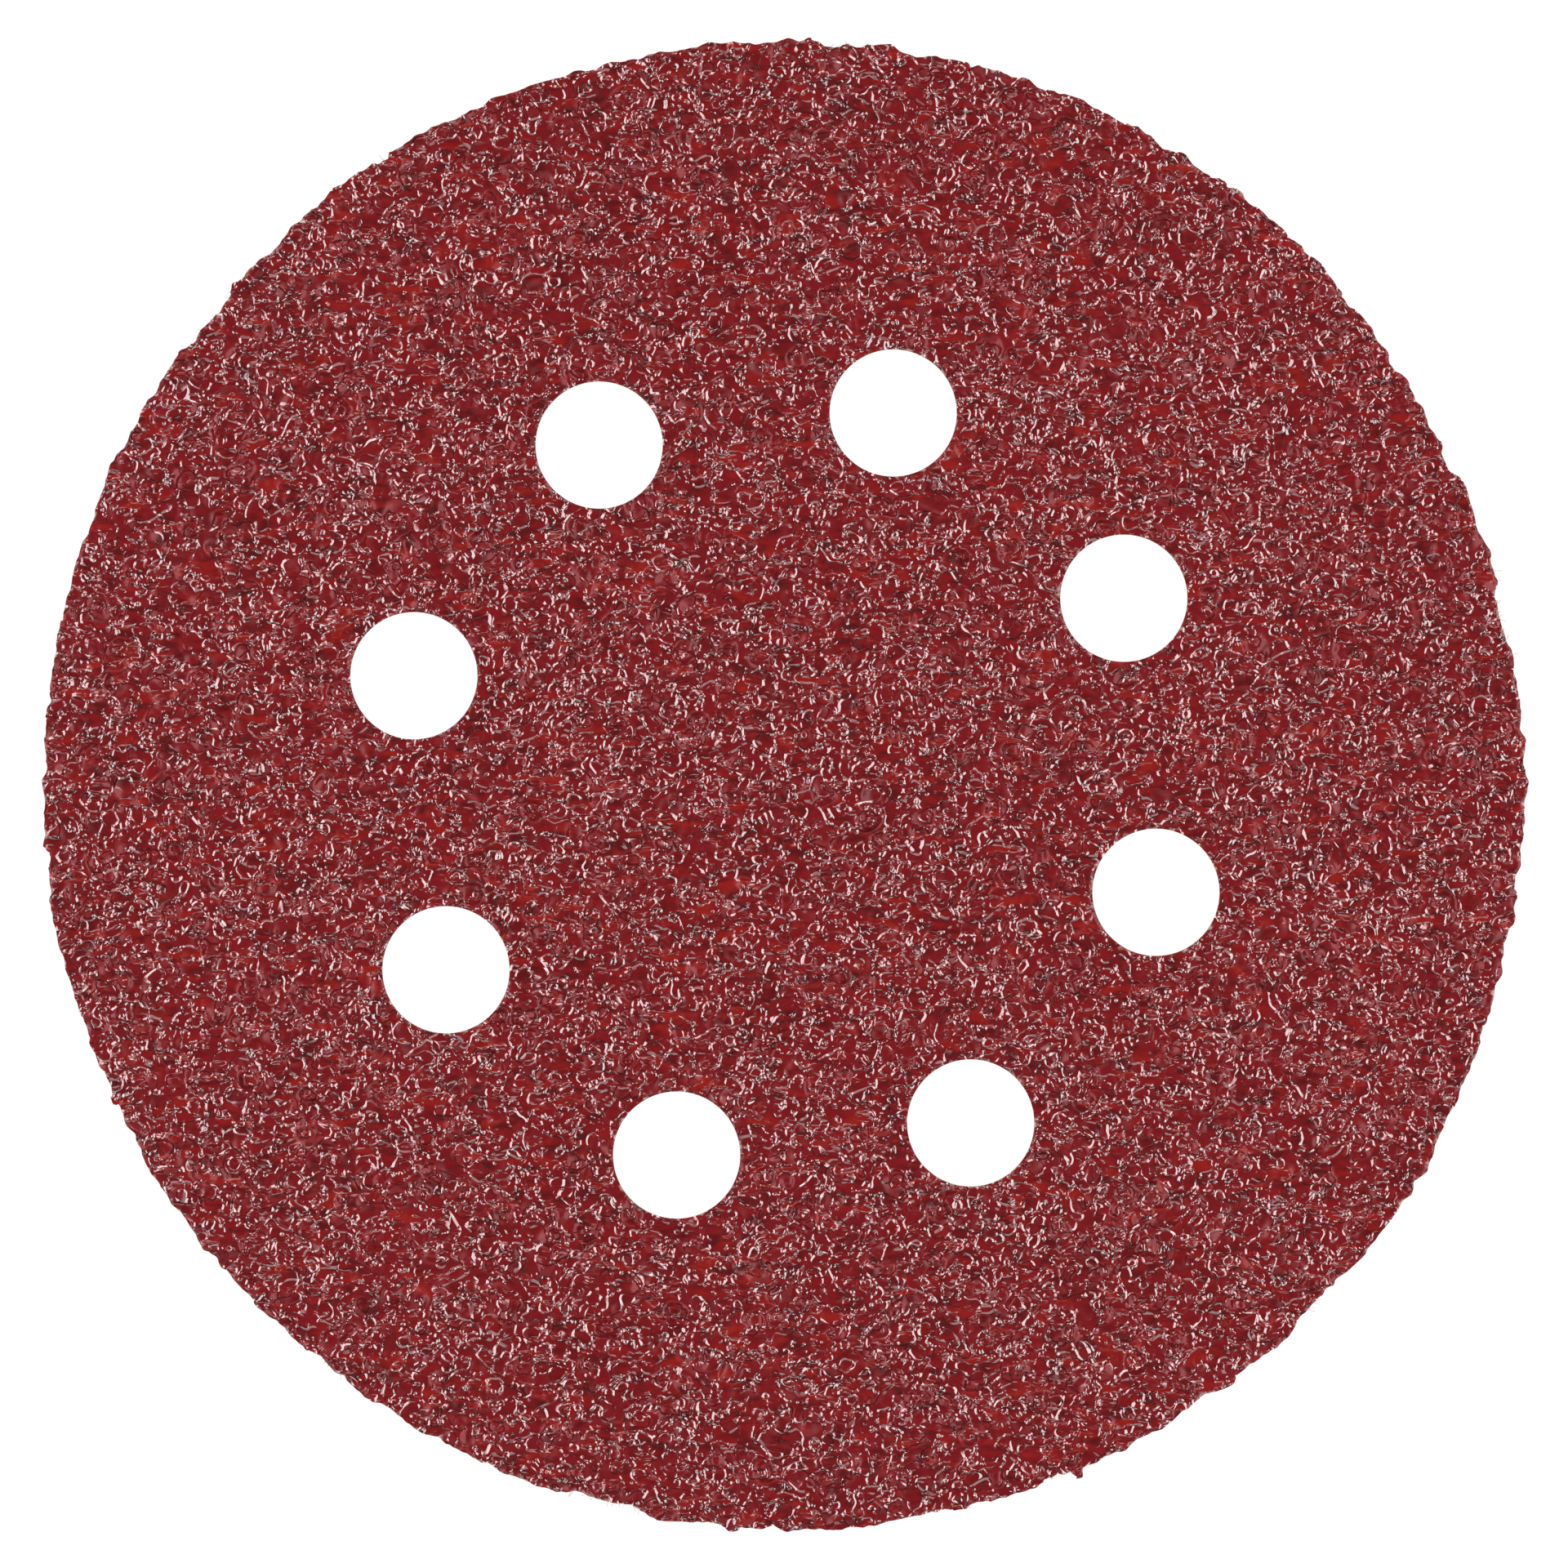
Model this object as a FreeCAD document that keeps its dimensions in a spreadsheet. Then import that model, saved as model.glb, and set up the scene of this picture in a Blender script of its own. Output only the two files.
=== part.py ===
"""A hook and loop sanding disc with eight dust holes, in millimetres.

Three sheets are bonded over their whole faces and punched as one: brushed loop fabric that grips
the sander's hook pad, heavy backing paper, and the coat of grit bedded in red resin. The die
leaves fabric and paper clean, and breaks the brittle coat into small facets that stand a little
proud of the paper or fall just short of it.

The disc lies on its loops. Z = 0 is the loop face, +Z points out of the grit, the origin is the
centre of the hole circle, and one dust hole lies on +X.
"""
import FreeCAD
import Part

import math
import os
import random

import Sketcher
from FreeCAD import Vector

OUT = "parts"

# Driving dimensions: alias, value, what it is. Lengths are in millimetres and angles in degrees.
DIMENSIONS = (
    ("disc_diameter", 125.0, "diameter that the sander's pad asks for"),
    ("out_of_round", 1.1, "long diameter less short diameter, as punched"),
    ("long_way", 84.0, "direction of the long diameter from +X"),
    ("hole_circle_diameter", 65.0, "circle through the dust hole centres"),
    ("hole_diameter", 10.7, "dust hole"),
    ("hole_count", 8, "dust holes, evenly spaced"),
    ("loop_thickness", 0.75, "knitted ground and standing loops, unpressed"),
    ("paper_thickness", 0.4, "backing paper"),
    ("coat_thickness", 0.6, "from the paper to the tips of the grit"),
    ("paper_setback", 0.2, "punched edge of paper and fabric inside the coat's mean edge"),
    ("facet_short", 0.5, "shortest facet of the broken edge"),
    ("facet_long", 2.4, "longest facet of the broken edge"),
    ("facet_depth", 0.12, "spread of the facets' corners, in or out"),
    ("edge_drift", 0.06, "slower wander of the edge, added at each facet"),
)

# The chips and standing grains that show: direction in degrees from +X, width along the edge,
# and depth into the coat, which is negative where a grain stands out.
EDGE_MARKS = (
    (25.3, 1.6, -0.30),
    (57.1, 4.8, 0.44),
    (94.1, 1.6, 0.45),
    (112.5, 7.2, 0.50),
    (176.5, 1.2, -0.28),
    (203.3, 4.8, 0.36),
    (227.3, 8.4, 0.52),
    (237.3, 1.4, -0.28),
    (256.3, 2.2, 0.30),
    (262.4, 1.8, 0.35),
    (264.3, 1.0, -0.70),
    (287.3, 6.8, 0.36),
    (344.1, 6.6, 0.40),
    (357.3, 3.2, 0.42),
)

EDGE_SEED = 5
DRIFT_KEPT = 0.85    # share of the wander that one facet hands to the next
MARK_SHOULDER = 0.2  # share of a mark's width that its slope takes at each end


def make_sheet(doc):
    """The spreadsheet of driving dimensions, one row each with its alias."""
    sheet = doc.addObject("Spreadsheet::Sheet", "dimensions")
    for row, (alias, value, note) in enumerate(DIMENSIONS, start=1):
        sheet.set(f"A{row}", alias)
        sheet.set(f"B{row}", str(value))
        sheet.set(f"C{row}", note)
        sheet.setAlias(f"B{row}", alias)
    doc.recompute()
    return sheet


def new_sketch(body, name):
    """A sketch on the body's own XY plane."""
    sketch = body.newObject("Sketcher::SketchObject", name)
    plane = next(f for f in body.Origin.OriginFeatures if f.Role == "XY_Plane")
    sketch.AttachmentSupport = [(plane, "")]
    sketch.MapMode = "FlatFace"
    return sketch


def name_and_bind(sketch, constraint, name, expression):
    """Adds a constraint, names it and binds its value to the sheet."""
    index = sketch.addConstraint(constraint)
    sketch.renameConstraint(index, name)
    sketch.setExpression(f"Constraints.{name}", expression)


def draw_oval(sketch, sheet, growth):
    """The punched outline: an oval centred on the hole circle, grown by an expression's value."""
    radius = sheet.disc_diameter / 2
    slack = sheet.out_of_round / 4
    turn = math.radians(sheet.long_way)
    across = turn + math.pi / 2
    far = Vector(math.cos(turn), math.sin(turn)) * (radius + slack)
    near = Vector(math.cos(across), math.sin(across)) * (radius - slack)
    oval = sketch.addGeometry(Part.Ellipse(far, near, Vector(0, 0)), False)
    sketch.exposeInternalGeometry(oval)
    long_axis, short_axis = oval + 1, oval + 2
    sketch.addConstraint(Sketcher.Constraint("Coincident", oval, 3, -1, 1))
    name_and_bind(
        sketch,
        Sketcher.Constraint("Distance", long_axis, 2 * (radius + slack)),
        "long_diameter",
        f"dimensions.disc_diameter + dimensions.out_of_round / 2 + 2 * ({growth})",
    )
    name_and_bind(
        sketch,
        Sketcher.Constraint("Distance", short_axis, 2 * (radius - slack)),
        "short_diameter",
        f"dimensions.disc_diameter - dimensions.out_of_round / 2 + 2 * ({growth})",
    )
    name_and_bind(
        sketch,
        Sketcher.Constraint("Angle", long_axis, turn),
        "long_way",
        "dimensions.long_way * 1 deg",
    )


def draw_hole(sketch, sheet):
    """The first dust hole, on +X."""
    ring, radius = sheet.hole_circle_diameter / 2, sheet.hole_diameter / 2
    hole = sketch.addGeometry(Part.Circle(Vector(ring, 0), Vector(0, 0, 1), radius), False)
    sketch.addConstraint(Sketcher.Constraint("PointOnObject", hole, 3, -1))
    name_and_bind(
        sketch,
        Sketcher.Constraint("DistanceX", -1, 1, hole, 3, ring),
        "ring_radius",
        "dimensions.hole_circle_diameter / 2",
    )
    name_and_bind(
        sketch,
        Sketcher.Constraint("Diameter", hole, 2 * radius),
        "hole_diameter",
        "dimensions.hole_diameter",
    )


def punched_sheet(doc, sheet, label, thickness, base, growth):
    """One sheet of the laminate: an oval pad, cut through by the ring of dust holes.

    thickness, base and growth are expressions: the sheet's thickness, the height of its lower
    face, and how far its outline lies outside the coat's mean edge.
    """
    body = doc.addObject("PartDesign::Body", label)
    body.Label = label
    outline = new_sketch(body, f"{label}_outline")
    draw_oval(outline, sheet, growth)
    pad = body.newObject("PartDesign::Pad", f"{label}_pad")
    pad.Profile = outline
    pad.setExpression("Length", thickness)
    doc.recompute()
    blank_volume = pad.Shape.Volume

    hole = new_sketch(body, f"{label}_hole")
    draw_hole(hole, sheet)
    punch = body.newObject("PartDesign::Pocket", f"{label}_punch")
    punch.Profile = hole
    punch.Type = "ThroughAll"
    punch.Reversed = True
    doc.recompute()
    ring = body.newObject("PartDesign::PolarPattern", f"{label}_dust_holes")
    ring.Originals = [punch]
    ring.Axis = (hole, ["N_Axis"])
    ring.Angle = 360
    ring.setExpression("Occurrences", "dimensions.hole_count")
    body.Tip = ring
    body.setExpression("Placement.Base.z", base)
    doc.recompute()

    hole_area = math.pi * sheet.hole_diameter ** 2 / 4
    cut = hole_area * sheet.hole_count * pad.Length.Value
    assert abs(blank_volume - body.Shape.Volume - cut) < 1e-3 * cut, f"{label}: holes not cut"
    return body


def mark_depth(sheet, angle):
    """How far the chips and standing grains move the edge inwards at this direction."""
    depth = 0.0
    for middle, width, deep in EDGE_MARKS:
        half = width / 2
        away = abs((angle - middle + 180) % 360 - 180)
        along = math.radians(away) * sheet.disc_diameter / 2
        slope = MARK_SHOULDER * width
        depth += deep * min(max((half - along) / slope, 0.0), 1.0)
    return depth


def mark_corners(sheet):
    """Directions of the four corners of each chip or standing grain, in degrees."""
    radius = sheet.disc_diameter / 2
    corners = []
    for middle, width, _ in EDGE_MARKS:
        half = math.degrees(width / 2 / radius)
        shoulder = math.degrees(MARK_SHOULDER * width / radius)
        corners += [middle - half, middle - half + shoulder, middle + half - shoulder, middle + half]
    return [corner % 360 for corner in corners]


def broken_edge(sheet):
    """Corners of the coat's broken edge, once round."""
    rng = random.Random(EDGE_SEED)
    radius = sheet.disc_diameter / 2
    marks = mark_corners(sheet)
    clear = math.degrees(sheet.facet_short / 2 / radius)
    offsets = {corner: 0.0 for corner in marks}
    angle, drift = 0.0, 0.0
    while angle < 360 - clear:
        drift = DRIFT_KEPT * drift + rng.gauss(0, sheet.edge_drift)
        if all(abs((angle - corner + 180) % 360 - 180) > clear for corner in marks):
            offsets[angle] = drift + rng.gauss(0, sheet.facet_depth)
        angle += math.degrees(rng.uniform(sheet.facet_short, sheet.facet_long) / radius)
    corners = []
    for angle in sorted(offsets):
        oval = sheet.out_of_round / 4 * math.cos(2 * math.radians(angle - sheet.long_way))
        reach = radius + oval + offsets[angle] - mark_depth(sheet, angle)
        turn = math.radians(angle)
        corners.append(Vector(reach * math.cos(turn), reach * math.sin(turn)))
    return corners


def make_edge_prism(doc, sheet, corners):
    """A prism of the broken edge, one coat thickness longer than the coat at each end."""
    outline = Part.Face(Part.makePolygon(corners + corners[:1]))
    prism = doc.addObject("Part::Feature", "edge_prism")
    prism.Label = "edge_prism"
    prism.Shape = outline.extrude(Vector(0, 0, 3 * sheet.coat_thickness))
    bottom = sheet.loop_thickness + sheet.paper_thickness - sheet.coat_thickness
    prism.Placement.Base = Vector(0, 0, bottom)
    return prism


def make_loop_fabric(doc, sheet):
    """Brushed fabric whose loops take the pad's hooks: the lowest sheet."""
    return punched_sheet(
        doc, sheet, "loop_fabric", "dimensions.loop_thickness", "0 mm", "-dimensions.paper_setback"
    )


def make_backing_paper(doc, sheet):
    """Heavy paper that carries the coat, glued to the fabric over its whole face."""
    return punched_sheet(
        doc,
        sheet,
        "backing_paper",
        "dimensions.paper_thickness",
        "dimensions.loop_thickness * 1 mm",
        "-dimensions.paper_setback",
    )


def make_abrasive_coat(doc, sheet):
    """Grit in resin on the paper, as high as the grit's tips, with its edge broken off.

    The blank is punched just large enough to hold the grain that stands out furthest.
    """
    corners = broken_edge(sheet)
    furthest = max(corner.Length for corner in corners)
    growth = furthest - sheet.disc_diameter / 2 + sheet.out_of_round
    blank = punched_sheet(
        doc,
        sheet,
        "coat_blank",
        "dimensions.coat_thickness",
        "(dimensions.loop_thickness + dimensions.paper_thickness) * 1 mm",
        f"{growth:.3f}",
    )
    coat = doc.addObject("Part::Common", "abrasive_coat")
    coat.Label = "abrasive_coat"
    coat.Base = blank
    coat.Tool = make_edge_prism(doc, sheet, corners)
    return coat


def check_document(doc):
    """Stops if any object failed to compute."""
    for item in doc.Objects:
        bad = {"Invalid", "Error"} & set(item.State)
        assert not bad, f"{item.Name} failed: {sorted(bad)}"


def export(parts):
    """Writes each sub-part's solid to parts/NODE.step, named by its label."""
    os.makedirs(OUT, exist_ok=True)
    for part in parts:
        shape = part.Shape
        assert not shape.isNull() and shape.isValid(), f"{part.Label} has no valid shape"
        assert len(shape.Solids) == 1, f"{part.Label} is {len(shape.Solids)} solids"
        shape.exportStep(os.path.join(OUT, f"{part.Label}.step"))
        box = shape.BoundBox
        print(
            f"{part.Label}: {box.XLength:.2f} x {box.YLength:.2f} x {box.ZLength:.2f} mm, "
            f"z from {box.ZMin:.2f} to {box.ZMax:.2f}, {shape.Volume:.1f} mm3"
        )


def main():
    doc = FreeCAD.newDocument("sanding_disc")
    sheet = make_sheet(doc)
    parts = [
        make_loop_fabric(doc, sheet),
        make_backing_paper(doc, sheet),
        make_abrasive_coat(doc, sheet),
    ]
    doc.recompute()
    check_document(doc)
    export(parts)


main()
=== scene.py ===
# A hook and loop sanding disc, grit side up: red resin over coarse grit, on heavy paper, on loop fabric.
import math

import bmesh
import bpy
import numpy as np
from mathutils import Matrix, Vector


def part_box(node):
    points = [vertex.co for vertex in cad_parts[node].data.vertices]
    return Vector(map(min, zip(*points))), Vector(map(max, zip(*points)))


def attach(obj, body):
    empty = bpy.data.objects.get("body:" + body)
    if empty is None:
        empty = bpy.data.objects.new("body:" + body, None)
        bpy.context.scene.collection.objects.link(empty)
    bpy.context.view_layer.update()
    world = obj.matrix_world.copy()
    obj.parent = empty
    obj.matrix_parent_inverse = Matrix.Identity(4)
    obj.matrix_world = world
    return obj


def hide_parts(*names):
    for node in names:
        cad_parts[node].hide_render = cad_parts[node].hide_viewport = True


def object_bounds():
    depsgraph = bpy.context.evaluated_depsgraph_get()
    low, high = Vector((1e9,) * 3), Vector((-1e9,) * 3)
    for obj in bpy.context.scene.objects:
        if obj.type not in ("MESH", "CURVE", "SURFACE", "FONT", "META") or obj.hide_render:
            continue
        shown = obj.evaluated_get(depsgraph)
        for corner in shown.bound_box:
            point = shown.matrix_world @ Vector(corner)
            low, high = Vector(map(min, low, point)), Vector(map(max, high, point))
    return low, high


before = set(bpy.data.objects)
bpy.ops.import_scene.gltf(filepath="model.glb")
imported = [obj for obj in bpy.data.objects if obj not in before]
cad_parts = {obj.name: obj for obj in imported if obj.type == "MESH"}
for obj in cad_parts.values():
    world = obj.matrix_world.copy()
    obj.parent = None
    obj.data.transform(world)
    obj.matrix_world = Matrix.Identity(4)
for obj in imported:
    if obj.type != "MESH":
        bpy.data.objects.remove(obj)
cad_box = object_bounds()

MM = 0.001

# Plan of the punched disc, in mm, as the solids have it. Past OUTSIDE_HOLES a point belongs to the rim.
DISC_RADIUS = 62.5
HOLE_RADIUS = 5.35
RING_RADIUS = 32.5
HOLE_COUNT = 8
HOLE_SEGMENTS = 72
OUTSIDE_HOLES = 50
PHOTO_TURN = math.radians(-28.73)
# Height of a row of a triangular lattice whose spacing is 1.
ROW_HEIGHT = 0.8660254

# Grit, in mm. The skin is one triangular lattice, cut in quarters so that each piece stays light.
GRIT_SPACING = 0.2
QUARTER_REACH = 63.4
LATTICE_SHIFT = (0.13, 0.29)
LATTICE_SHAKE = 0.3
SHAKE_SEED = 7
SLIVER = 0.04
RESIN_FLOOR = 0.07
RESIN_SWELL = 0.03
ARRIS = 0.13
MENISCUS = 0.09
# Two sizes of grains: cell, share of cells that hold one, radius in cells, height, and its sides' slope.
BEDDED_GRAINS = dict(cell=1.3, share=0.8, radius=(0.15, 0.35), height=(0.15, 0.40), slope=(0.3, 0.7),
                     sides=6, seed=1, tilt=0.2)
STANDING_GRAINS = dict(cell=1.9, share=0.15, radius=(0.18, 0.32), height=(0.30, 0.56), slope=(0.7, 1.2),
                       sides=6, seed=4, tilt=0.25)
GRAIN_WANDER = 0.9
GRAIN_CORNERS = (0.75, 1.25)
# Rim: knobs by size and reach, rows of its wall as shares of its height, and how far and wide it is worn.
RIM_KNOBS = ((0.95, 0.16), (0.45, 0.10))
RIM_SEED = 11
EDGE_ROWS = (0.66, 0.33, 0.0)
EDGE_ROUGHNESS = 0.035
EDGE_FALL = 0.10
EDGE_FALL_WIDTH = 0.35
EDGE_WEAR_WIDTH = 1.6

# Grain shoulders in the resin's bump, in mm: cell, least and largest radius, shoulder's width, rise, share.
SHOULDER_SIZES = ((2.1, 0.5, 0.95, 0.22, 0.095, 0.7), (1.2, 0.24, 0.48, 0.20, 0.088, 0.8),
                  (0.62, 0.07, 0.16, 0.15, 0.061, 0.8))

# Loop fabric, in mm and radians, but for the cloth's cut size and area, which are in metres.
CLOTH_THICKNESS = 0.18
CLOTH_SETBACK = 0.35
LOOP_PITCH = 1.29
LOOP_HALF_WIDTH = 0.52
LOOP_DROP = 0.55
YARN_RADIUS = 0.085
LOOP_LEAN = 0.5
LOOP_TURN = 0.7
LOOP_WANDER = 0.25
LOOP_SIZES = (0.8, 1.12)
LOOP_REACH = 64
LOOP_FROM_RIM = 0.95
LOOP_FROM_HOLE = 0.55
LOOP_SEED = 21

# Paper fibres torn out where the rim is chipped: angle from +X in degrees, width along the rim in mm, fibres.
TORN_PLACES = ((57.1, 4.8, 26), (94.1, 1.6, 8), (112.5, 7.2, 34), (203.3, 4.8, 24), (227.3, 8.4, 44),
               (256.3, 2.2, 12), (262.4, 1.8, 8), (287.3, 6.8, 30), (344.1, 6.6, 28), (357.3, 3.2, 12))
PAPER_SETBACK = 0.12
PAPER_ROUGHNESS = 0.03
PAPER_RAG = 0.12
RAG_FALL = 0.35
PAPER_LIMIT = 0.1
PAPER_SEED = 41
FIBRE_RADIUS = 0.035
FIBRE_BEND = 0.9
FIBRE_RING = 62
FIBRE_SPREAD = 0.28
FIBRE_DEPTH = (0.15, 0.5)
FIBRE_LEVEL = (0.1, 0.55)
FIBRE_TURN = 1.2
FIBRE_DIP = (0.2, 1.5)
FIBRE_SIZES = (0.35, 0.9)
FIBRE_SEED = 31

# Bands that a wave texture makes in one unit at a scale of 1.
WAVES_PER_SCALE = 3.2

# Studio: half angle of each strip as the disc sees it, and each strip's share of the light.
STRIP_DISTANCE = 0.6
STRIP_HIGH = math.radians(9.5)
STRIP_WIDE = math.radians(34)
SIDE_SHARE, SIDE_ELEVATION = 0.38, math.radians(48)
END_SHARE, END_ELEVATION = 0.11, math.radians(50)
BELOW_SHARE, BELOW_ELEVATION = 0.45, math.radians(-40)
AMBIENT = 0.03
# Floor: half its side, and from where to where its shade fades out, in metres.
FLOOR_SIZE = 4.0
FLOOR_FADE = (0.08, 0.2)
# Camera: how much of the disc's plane it spans, and how far right of its middle the hole circle is, in mm.
LENS, SENSOR = 200.0, 36.0
VIEW_WIDTH = 131.72
RING_OFFSET = 1.1 / 14.576


def linear(hex_colour):
    """An sRGB hex colour as linear RGBA."""
    channels = [int(hex_colour[i:i + 2], 16) / 255 for i in (0, 2, 4)]
    return tuple(c / 12.92 if c <= 0.04045 else ((c + 0.055) / 1.055) ** 2.4 for c in channels) + (1.0,)


def add_node(tree, kind, values=None, links=None, **settings):
    """Adds a node: settings are its own properties, values its sockets' values, links what feeds them."""
    made = tree.nodes.new(kind)
    for name, value in settings.items():
        setattr(made, name, value)
    for name, value in (values or {}).items():
        made.inputs[name].default_value = value
    for name, source in (links or {}).items():
        tree.links.new(source, made.inputs[name])
    return made


def new_material(name, **values):
    """A material with its Principled shader's own sockets set; names use _ for spaces."""
    material = bpy.data.materials.new(name)
    material.use_nodes = True
    shader = material.node_tree.nodes["Principled BSDF"]
    for socket, value in values.items():
        shader.inputs[socket.replace("_", " ")].default_value = value
    return material, material.node_tree, shader


# Plan.


def read_rim():
    """Angle and radius of the grit coat's edge corners, in mm, from the solid's own top face."""
    corners = np.array([v.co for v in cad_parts["abrasive_coat"].data.vertices]) / MM
    corners = corners[corners[:, 2] > corners[:, 2].max() - 0.01]
    radius = np.hypot(corners[:, 0], corners[:, 1])
    corners, radius = corners[radius > OUTSIDE_HOLES], radius[radius > OUTSIDE_HOLES]
    angle = np.round(np.arctan2(corners[:, 1], corners[:, 0]) % (2 * math.pi), 6)
    angle, first = np.unique(angle, return_index=True)
    return angle, radius[first]


RIM_ANGLE, RIM_RADIUS = read_rim()


def rim_knobs(angle):
    """Small grains at the rim stand in and out of the solid's facets: knobs of two sizes, in mm."""
    rng = np.random.default_rng(RIM_SEED)
    total = np.zeros_like(angle)
    for size, reach in RIM_KNOBS:
        count = int(2 * math.pi * DISC_RADIUS / size)
        knots = np.arange(count) * 2 * math.pi / count
        total += np.interp(angle, knots, rng.uniform(-reach, 0.9 * reach, count), period=2 * math.pi)
    return total


def rim_at(x, y, setback=0.0):
    """The rim's radius in mm in the direction of each point, with its knobs."""
    angle = np.arctan2(y, x)
    return np.interp(angle, RIM_ANGLE, RIM_RADIUS, period=2 * math.pi) - setback + rim_knobs(angle)


HOLE_CENTRES = [(RING_RADIUS * math.cos(math.radians(45 * k)), RING_RADIUS * math.sin(math.radians(45 * k)))
                for k in range(HOLE_COUNT)]


def nearest_hole(x, y):
    """Offset from the nearest hole's centre, and the distance to it."""
    away = np.array([np.hypot(x - cx, y - cy) for cx, cy in HOLE_CENTRES])
    which = away.argmin(axis=0)
    centres = np.array(HOLE_CENTRES)[which]
    return x - centres[:, 0], y - centres[:, 1], away.min(axis=0)


# Grit.


def cell_random(column, row, seed, count):
    """Random numbers that belong to a lattice cell, the same each time the cell is asked."""
    mixed = (column * 73856093) ^ (row * 19349663) ^ (seed * 83492791)
    numbers = []
    for k in range(count):
        value = (mixed + (k + 1) * 2654435761) & 0xFFFFFFFF
        value = ((value ^ (value >> 16)) * 0x45D9F3B) & 0xFFFFFFFF
        value = ((value ^ (value >> 16)) * 0x45D9F3B) & 0xFFFFFFFF
        numbers.append((value ^ (value >> 16)) / 4294967296.0)
    return numbers


def between(limits, t):
    """The value that lies at share t of the way between two limits."""
    return limits[0] + (limits[1] - limits[0]) * t


def grain_layer(x, y, grains):
    """Height in mm of one size of grains: each has a tilted top and sloping sides, with arrises that resin
    softens. Random numbers, in order: place, whether a grain is there, radius, top, turn, tilt, sides."""
    cell, sides = grains["cell"], grains["sides"]
    column, row = np.floor(x / cell).astype(np.int64), np.floor(y / cell).astype(np.int64)
    best = np.full(x.shape, -1.0)
    for step_x in (-1, 0, 1):
        for step_y in (-1, 0, 1):
            i, j = column + step_x, row + step_y
            r = cell_random(i, j, grains["seed"], 8 + 2 * sides)
            dx = x - (i + 0.5 + GRAIN_WANDER * (r[0] - 0.5)) * cell
            dy = y - (j + 0.5 + GRAIN_WANDER * (r[1] - 0.5)) * cell
            radius = cell * between(grains["radius"], r[3])
            top = between(grains["height"], r[4] ** 1.3)
            lean = grains["tilt"] * ((2 * r[6] - 1) * dx + (2 * r[7] - 1) * dy)
            soft = np.exp(-(top + lean) / ARRIS)
            for s in range(sides):
                angle = 2 * math.pi * (r[5] + (s + 0.7 * (r[8 + s] - 0.5)) / sides)
                reach = radius * between(GRAIN_CORNERS, r[8 + sides + s])
                slope = between(grains["slope"], r[8 + (s * 3 + 1) % sides])
                side = top - slope * (dx * np.cos(angle) + dy * np.sin(angle) - reach)
                soft = soft + np.exp(-np.clip(side, -1.5, 3) / ARRIS)
            best = np.maximum(best, np.where(r[2] < grains["share"], -ARRIS * np.log(soft), -1.0))
    return best


def grit_height(x, y):
    """Height of the grit above the paper in mm: grains of two sizes stand in resin that climbs their feet."""
    swell = RESIN_SWELL * np.sin(0.9 * x + 1.3 * np.sin(0.7 * y)) * np.sin(1.1 * y + 0.3 * x)
    total = np.exp(swell / MENISCUS)
    for grains in (BEDDED_GRAINS, STANDING_GRAINS):
        total = total + np.exp(grain_layer(x, y, grains) / MENISCUS)
    return RESIN_FLOOR + MENISCUS * np.log(total)


def lattice_mesh(spacing, side_x, side_y, reach):
    """A triangular lattice over a quarter of the disc, and its vertices in mm. Quarters share edge points."""
    columns, rows = int(reach / spacing) + 3, int(reach / spacing / ROW_HEIGHT) + 3
    bm = bmesh.new()
    bmesh.ops.create_grid(bm, x_segments=columns, y_segments=rows, size=1.0)
    mesh = bpy.data.meshes.new("lattice")
    bm.to_mesh(mesh)
    bm.free()
    place = np.empty(len(mesh.vertices) * 3)
    mesh.vertices.foreach_get("co", place)
    place = place.reshape(-1, 3)
    column = np.round((place[:, 0] + 1) / 2 * columns).astype(np.int64) - 2
    row = np.round((place[:, 1] + 1) / 2 * rows).astype(np.int64) - 2
    if side_x < 0:
        column = column - (columns - 4)
    if side_y < 0:
        row = row - (rows - 4)
    place[:, 0] = (column + 0.5 * (row % 2) + LATTICE_SHIFT[0]) * spacing
    place[:, 1] = (row + LATTICE_SHIFT[1]) * spacing * ROW_HEIGHT
    place[:, 2] = 0.0
    mesh.vertices.foreach_set("co", place.ravel() * MM)
    return mesh, place, column, row


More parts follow.
